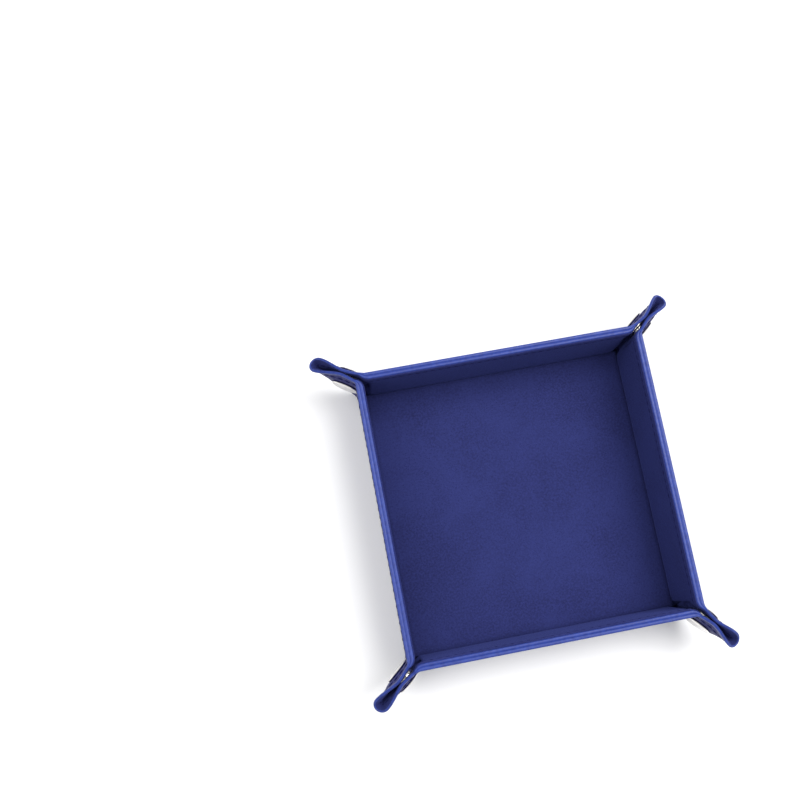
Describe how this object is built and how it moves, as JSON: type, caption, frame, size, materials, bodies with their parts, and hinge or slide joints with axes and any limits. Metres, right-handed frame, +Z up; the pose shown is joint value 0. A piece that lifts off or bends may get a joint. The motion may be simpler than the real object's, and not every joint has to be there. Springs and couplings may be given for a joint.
{
  "type": "folding dice tray",
  "caption": "Square leathercloth tray with a velvet lining, whose four walls stand up when the corners are pinched into ears and snapped, and which opens flat.",
  "frame": {"origin": "under the middle of the floor, on the face that the tray stands on", "axes": "+Z up out of the tray, +Y to the back wall, +X to the right wall"},
  "size_m": [0.1748, 0.1684, 0.0379],
  "materials": {
    "leather": "smooth grained blue leathercloth with a painted rim",
    "velvet": "short-pile navy velvet",
    "core_board": "grey core board",
    "thread": "sewing thread",
    "chrome": "polished"
  },
  "bodies": {
    "base": {"base_leather": "leather", "base_board": "core_board", "base_velvet": "velvet", "back_crease": "leather", "right_crease": "leather", "front_crease": "leather", "left_crease": "leather"},
    "back_wall": {"back_wall_leather": "leather", "back_wall_board": "core_board", "back_wall_velvet": "velvet", "back_wall_thread": "thread"},
    "right_wall": {"right_wall_leather": "leather", "right_wall_board": "core_board", "right_wall_velvet": "velvet", "right_wall_thread": "thread"},
    "front_wall": {"front_wall_leather": "leather", "front_wall_board": "core_board", "front_wall_velvet": "velvet", "front_wall_thread": "thread"},
    "left_wall": {"left_wall_leather": "leather", "left_wall_board": "core_board", "left_wall_velvet": "velvet", "left_wall_thread": "thread"},
    "back_left_stud_ear": {"back_left_stud_flap_leather": "leather", "back_left_stud_flap_velvet": "velvet", "back_left_stud": "chrome", "back_left_stud_cap": "chrome"},
    "back_right_socket_ear": {"back_right_socket_flap_leather": "leather", "back_right_socket_flap_velvet": "velvet", "back_right_socket": "chrome", "back_right_socket_cap": "chrome"},
    "back_right_stud_ear": {"back_right_stud_flap_leather": "leather", "back_right_stud_flap_velvet": "velvet", "back_right_stud": "chrome", "back_right_stud_cap": "chrome"},
    "front_right_socket_ear": {"front_right_socket_flap_leather": "leather", "front_right_socket_flap_velvet": "velvet", "front_right_socket": "chrome", "front_right_socket_cap": "chrome"},
    "front_right_stud_ear": {"front_right_stud_flap_leather": "leather", "front_right_stud_flap_velvet": "velvet", "front_right_stud": "chrome", "front_right_stud_cap": "chrome"},
    "front_left_socket_ear": {"front_left_socket_flap_leather": "leather", "front_left_socket_flap_velvet": "velvet", "front_left_socket": "chrome", "front_left_socket_cap": "chrome"},
    "front_left_stud_ear": {"front_left_stud_flap_leather": "leather", "front_left_stud_flap_velvet": "velvet", "front_left_stud": "chrome", "front_left_stud_cap": "chrome"},
    "back_left_socket_ear": {"back_left_socket_flap_leather": "leather", "back_left_socket_flap_velvet": "velvet", "back_left_socket": "chrome", "back_left_socket_cap": "chrome"}
  },
  "joints": [
    {"name": "back_wall_fold", "type": "hinge", "parent": "base", "child": "back_wall", "pos_m": [0, 0.064, 0.0019], "axis": [-1, 0, 0], "range_deg": [0, 84]},
    {"name": "right_wall_fold", "type": "hinge", "parent": "base", "child": "right_wall", "pos_m": [0.064, 0, 0.0019], "axis": [0, 1, 0], "range_deg": [0, 84]},
    {"name": "front_wall_fold", "type": "hinge", "parent": "base", "child": "front_wall", "pos_m": [0, -0.064, 0.0019], "axis": [1, 0, 0], "range_deg": [0, 84]},
    {"name": "left_wall_fold", "type": "hinge", "parent": "base", "child": "left_wall", "pos_m": [-0.064, 0, 0.0019], "axis": [0, -1, 0], "range_deg": [0, 84]},
    {"name": "back_left_stud_ear_fold", "type": "hinge", "parent": "back_wall", "child": "back_left_stud_ear", "pos_m": [-0.0628, 0.06505, 0.00186], "axis": [0, 0.0349, 0.9994], "range_deg": [0, 33]},
    {"name": "back_right_socket_ear_fold", "type": "hinge", "parent": "back_wall", "child": "back_right_socket_ear", "pos_m": [0.0628, 0.06505, 0.00186], "axis": [0, -0.0349, -0.9994], "range_deg": [0, 38.5]},
    {"name": "back_right_stud_ear_fold", "type": "hinge", "parent": "right_wall", "child": "back_right_stud_ear", "pos_m": [0.06505, 0.0628, 0.00186], "axis": [0.0349, 0, 0.9994], "range_deg": [0, 51.5]},
    {"name": "front_right_socket_ear_fold", "type": "hinge", "parent": "right_wall", "child": "front_right_socket_ear", "pos_m": [0.06505, -0.0628, 0.00186], "axis": [-0.0349, 0, -0.9994], "range_deg": [0, 42]},
    {"name": "front_right_stud_ear_fold", "type": "hinge", "parent": "front_wall", "child": "front_right_stud_ear", "pos_m": [0.0628, -0.06505, 0.00186], "axis": [0, -0.0349, 0.9994], "range_deg": [0, 48]},
    {"name": "front_left_socket_ear_fold", "type": "hinge", "parent": "front_wall", "child": "front_left_socket_ear", "pos_m": [-0.0628, -0.06505, 0.00186], "axis": [0, 0.0349, -0.9994], "range_deg": [0, 40]},
    {"name": "front_left_stud_ear_fold", "type": "hinge", "parent": "left_wall", "child": "front_left_stud_ear", "pos_m": [-0.06505, -0.0628, 0.00186], "axis": [-0.0349, 0, 0.9994], "range_deg": [0, 50]},
    {"name": "back_left_socket_ear_fold", "type": "hinge", "parent": "left_wall", "child": "back_left_socket_ear", "pos_m": [-0.06505, 0.0628, 0.00186], "axis": [0.0349, 0, -0.9994], "range_deg": [0, 57]}
  ],
  "couplings": [
    {"joint": "right_wall_fold", "follows": "back_wall_fold", "ratio": 1},
    {"joint": "front_wall_fold", "follows": "back_wall_fold", "ratio": 1},
    {"joint": "left_wall_fold", "follows": "back_wall_fold", "ratio": 1},
    {"joint": "back_left_stud_ear_fold", "follows": "back_wall_fold", "ratio": 0.3929},
    {"joint": "back_right_socket_ear_fold", "follows": "back_wall_fold", "ratio": 0.4583},
    {"joint": "back_right_stud_ear_fold", "follows": "back_wall_fold", "ratio": 0.6131},
    {"joint": "front_right_socket_ear_fold", "follows": "back_wall_fold", "ratio": 0.5},
    {"joint": "front_right_stud_ear_fold", "follows": "back_wall_fold", "ratio": 0.5714},
    {"joint": "front_left_socket_ear_fold", "follows": "back_wall_fold", "ratio": 0.4762},
    {"joint": "front_left_stud_ear_fold", "follows": "back_wall_fold", "ratio": 0.5952},
    {"joint": "back_left_socket_ear_fold", "follows": "back_wall_fold", "ratio": 0.6786}
  ]
}
